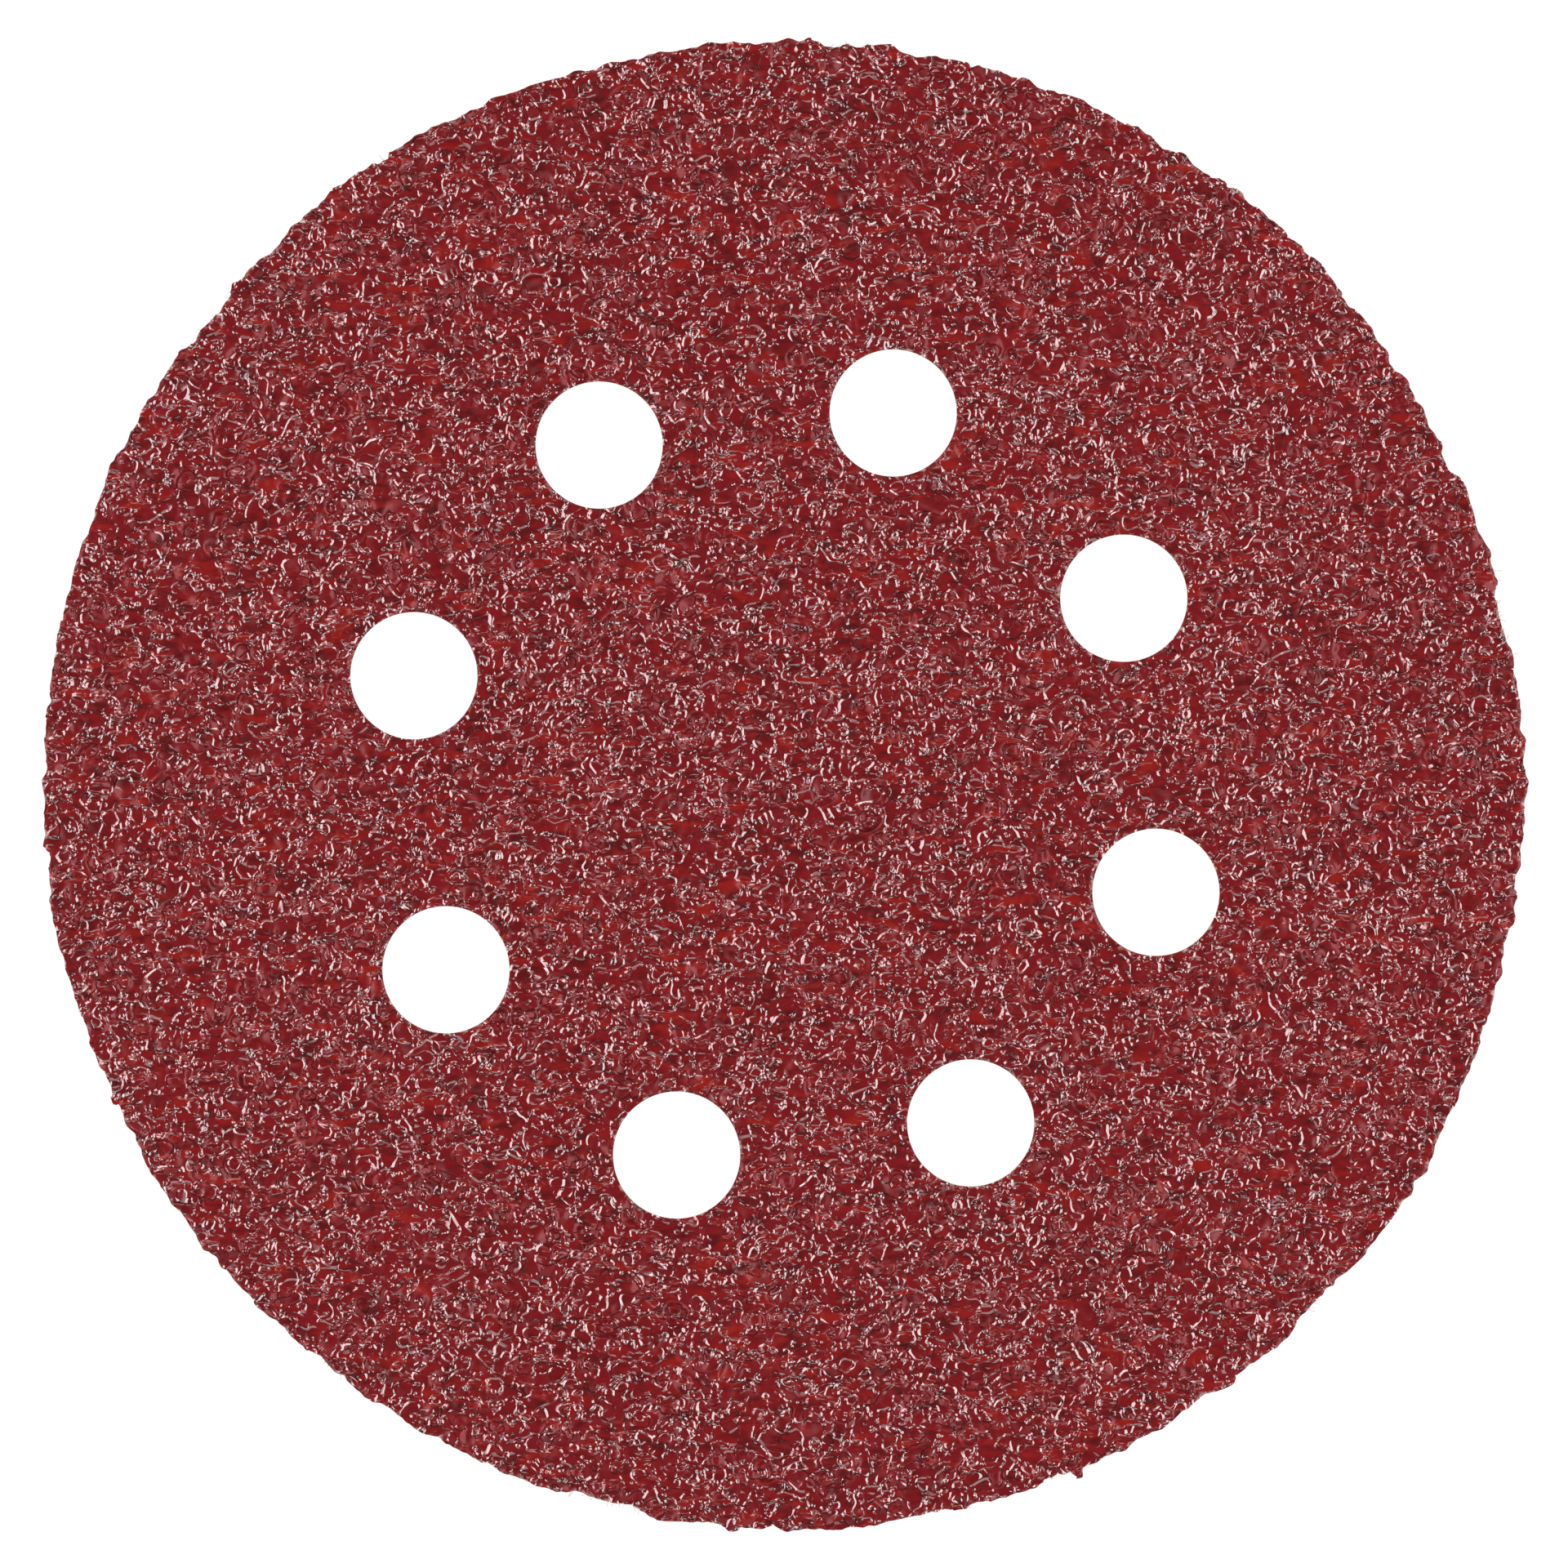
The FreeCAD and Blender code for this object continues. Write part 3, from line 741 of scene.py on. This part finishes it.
def white_floor():
    """A plain floor, white to the camera, that keeps a faint shadow. From below it is clear, like glass."""
    bm = bmesh.new()
    bmesh.ops.create_grid(bm, x_segments=1, y_segments=1, size=FLOOR_SIZE)
    mesh = bpy.data.meshes.new("floor")
    bm.to_mesh(mesh)
    bm.free()
    material = bpy.data.materials.new("white_paper_sweep")
    material.use_nodes = True
    tree = material.node_tree
    tree.nodes.clear()
    path = add_node(tree, "ShaderNodeLightPath")
    seen = path.outputs["Is Camera Ray"]
    for ray in ("Is Glossy Ray", "Is Transmission Ray"):
        seen = add_node(tree, "ShaderNodeMath", None, {0: seen, 1: path.outputs[ray]},
                        operation="MAXIMUM").outputs[0]
    lit = add_node(tree, "ShaderNodeBsdfDiffuse", {"Color": (0.8, 0.8, 0.8, 1)})
    shade = add_node(tree, "ShaderNodeBsdfDiffuse", {"Color": (0.2, 0.2, 0.2, 1)})
    glow = add_node(tree, "ShaderNodeEmission", {"Color": (1, 1, 1, 1), "Strength": 0.86})
    near = add_node(tree, "ShaderNodeAddShader", None, {0: shade.outputs[0], 1: glow.outputs[0]})
    away = add_node(tree, "ShaderNodeEmission", {"Color": (1, 1, 1, 1), "Strength": 1.0})
    place = add_node(tree, "ShaderNodeTexCoord").outputs["Object"]
    length = add_node(tree, "ShaderNodeVectorMath", None, {0: place}, operation="LENGTH")
    far = add_node(tree, "ShaderNodeMapRange", {"From Min": FLOOR_FADE[0], "From Max": FLOOR_FADE[1]},
                   {"Value": length.outputs["Value"]}, interpolation_type="SMOOTHSTEP")
    white = add_node(tree, "ShaderNodeMixShader", None,
                     {0: far.outputs[0], 1: near.outputs[0], 2: away.outputs[0]})
    top = add_node(tree, "ShaderNodeMixShader", None, {0: seen, 1: lit.outputs[0], 2: white.outputs[0]})
    below = add_node(tree, "ShaderNodeNewGeometry").outputs["Backfacing"]
    clear_to = add_node(tree, "ShaderNodeMath", None, {0: below, 1: path.outputs["Is Shadow Ray"]},
                        operation="MAXIMUM")
    clear = add_node(tree, "ShaderNodeBsdfTransparent")
    both = add_node(tree, "ShaderNodeMixShader", None,
                    {0: clear_to.outputs[0], 1: top.outputs[0], 2: clear.outputs[0]})
    add_node(tree, "ShaderNodeOutputMaterial", None, {"Surface": both.outputs[0]})
    mesh.materials.append(material)
    floor = bpy.data.objects.new("floor", mesh)
    bpy.context.scene.collection.objects.link(floor)


def strip_light(turn, share, elevation):
    """A long soft strip that gives the disc its share of the light."""
    high = 2 * STRIP_DISTANCE * math.tan(STRIP_HIGH)
    wide = 2 * STRIP_DISTANCE * math.tan(STRIP_WIDE)
    light = bpy.data.lights.new("strip", "AREA")
    light.shape = "RECTANGLE"
    light.size, light.size_y = high, wide
    spread = STRIP_WIDE + math.sin(STRIP_WIDE) * math.cos(STRIP_WIDE)
    light.energy = share * math.pi ** 2 * STRIP_DISTANCE * wide / (abs(math.sin(elevation)) * spread)
    strip = bpy.data.objects.new("strip", light)
    bpy.context.scene.collection.objects.link(strip)
    level = STRIP_DISTANCE * math.cos(elevation)
    strip.location = (level * math.cos(turn), level * math.sin(turn), STRIP_DISTANCE * math.sin(elevation))
    strip.rotation_euler = (0, math.pi / 2 - elevation, turn)


def studio():
    """Four strips round the disc, two under its loop side, a dim room, and the camera straight above."""
    scene = bpy.context.scene
    scene.view_settings.view_transform = "Standard"
    world = bpy.data.worlds.new("studio")
    world.use_nodes = True
    tree = world.node_tree
    path = add_node(tree, "ShaderNodeLightPath")
    strength = add_node(tree, "ShaderNodeMapRange", {"To Min": AMBIENT, "To Max": 1.0},
                        {"Value": path.outputs["Is Camera Ray"]})
    tree.nodes["Background"].inputs["Color"].default_value = (1, 1, 1, 1)
    tree.links.new(strength.outputs["Result"], tree.nodes["Background"].inputs["Strength"])
    scene.world = world
    for quarter in range(4):
        share, elevation = ((SIDE_SHARE, SIDE_ELEVATION), (END_SHARE, END_ELEVATION))[quarter % 2]
        strip_light(PHOTO_TURN + quarter * math.pi / 2, share, elevation)
    for side in (0, math.pi):
        strip_light(side, BELOW_SHARE, BELOW_ELEVATION)
    camera = bpy.data.objects.new("camera", bpy.data.cameras.new("camera"))
    camera.data.lens, camera.data.sensor_width = LENS, SENSOR
    camera.data.clip_start = 0.01
    across = Vector((math.cos(PHOTO_TURN), math.sin(PHOTO_TURN), 0))
    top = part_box("abrasive_coat")[1].z
    camera.location = -across * RING_OFFSET * MM + Vector((0, 0, top + VIEW_WIDTH * MM * LENS / SENSOR))
    camera.rotation_euler = (0, 0, PHOTO_TURN)
    scene.collection.objects.link(camera)
    scene.camera = camera


# The disc.

grit_material = resin_over_grit()
for number, (side_x, side_y) in enumerate(((1, 1), (-1, 1), (-1, -1), (1, -1)), 1):
    quarter = grit_quarter(f"grit_quarter_{number}", side_x, side_y, grit_material)
    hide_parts("abrasive_coat")

paper_low, paper_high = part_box("backing_paper")
paper = punched_sheet("paper_sheet", paper_low.z, paper_high.z, paper_edge, 1900, HOLE_RADIUS, heavy_paper())
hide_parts("backing_paper")

cloth_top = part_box("loop_fabric")[1].z
cloth = punched_sheet("loop_ground_cloth", cloth_top - CLOTH_THICKNESS * MM, cloth_top, cloth_edge, 720,
                      HOLE_RADIUS + 0.05, knitted_ground())
pile = loop_pile(loop_yarn())
for piece in [cloth] + pile:
    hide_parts("loop_fabric")

fibres = torn_fibres(paper_fibre())

white_floor()
studio()
